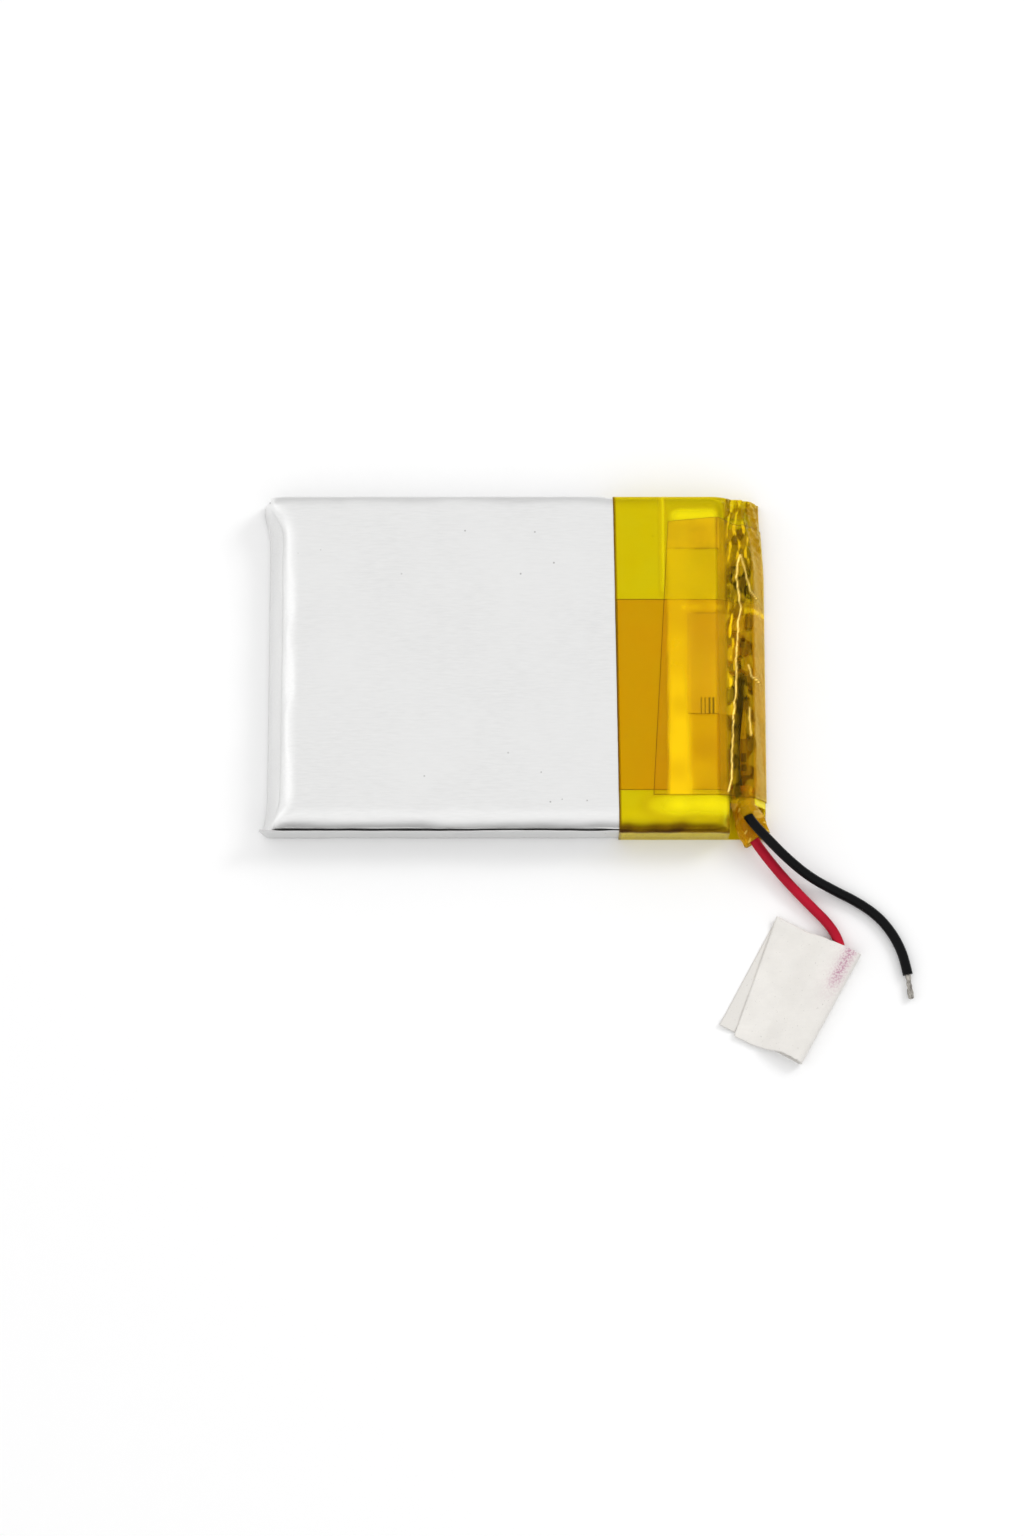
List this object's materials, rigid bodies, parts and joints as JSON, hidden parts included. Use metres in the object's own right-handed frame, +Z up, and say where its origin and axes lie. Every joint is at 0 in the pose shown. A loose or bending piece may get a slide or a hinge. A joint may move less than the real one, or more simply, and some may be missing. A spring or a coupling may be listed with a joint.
{
  "type": "lithium pouch battery pack",
  "caption": "Flat rectangular pouch cell with a folded blind end, a protection board under amber tape at the other end, and short black and red leads from one corner.",
  "frame": {"origin": "middle of the pack's underside, measured without the leads and what is on them", "axes": "+X along the cell towards the end with the leads, +Y across it away from the corner where the leads leave, +Z up out of the drawn cup's face"},
  "size_m": [0.065, 0.0571, 0.005],
  "materials": {
    "laminate_film": "satin aluminium laminate",
    "graphite_coating": "matt graphite on copper foil",
    "cathode_coating": "matt oxide on aluminium foil",
    "separator_film": "porous white film",
    "green_tape": "thin gloss tape",
    "nickel": "plain nickel strip",
    "tab_aluminium": "plain aluminium strip",
    "seal_film": "clear polypropylene film",
    "insulating_paper": "varnished paper",
    "board_laminate": "glass-fibre board with solder mask",
    "moulded_black": "moulded epoxy",
    "tinned_metal": "bright tin",
    "ceramic_part": "fired ceramic",
    "solder": "bright solder",
    "black_insulation": "glossy black PVC",
    "red_insulation": "satin red PVC",
    "polyimide": "amber polyimide film",
    "masking_tape": "creped off-white paper"
  },
  "bodies": {
    "root": {"pouch_cup": "laminate_film", "pouch_cover": "laminate_film", "anode_strip": "graphite_coating", "cathode_strip": "cathode_coating", "separator_strips": "separator_film", "roll_end_tape": "green_tape", "negative_tab": "nickel", "positive_tab": "tab_aluminium", "tab_seal_films": "seal_film", "terrace_insulation_strip": "insulating_paper", "protection_board": "board_laminate", "nickel_pad_negative": "nickel", "nickel_pad_positive": "nickel", "protection_chip": "moulded_black", "mosfet_chip": "moulded_black", "protection_chip_leads": "tinned_metal", "mosfet_leads": "tinned_metal", "chip_resistor_1": "ceramic_part", "chip_resistor_2": "ceramic_part", "chip_capacitor": "ceramic_part", "black_lead_insulation": "black_insulation", "black_lead_conductor": "tinned_metal", "red_lead_insulation": "red_insulation", "red_lead_conductor": "tinned_metal", "black_lead_solder": "solder", "red_lead_solder": "solder", "polyimide_wrap_tape": "polyimide", "polyimide_end_strip": "polyimide", "polyimide_board_tape": "polyimide", "polyimide_short_strip": "polyimide", "lead_exit_tape": "polyimide", "masking_tape_flag": "masking_tape"}
  },
  "joints": []
}
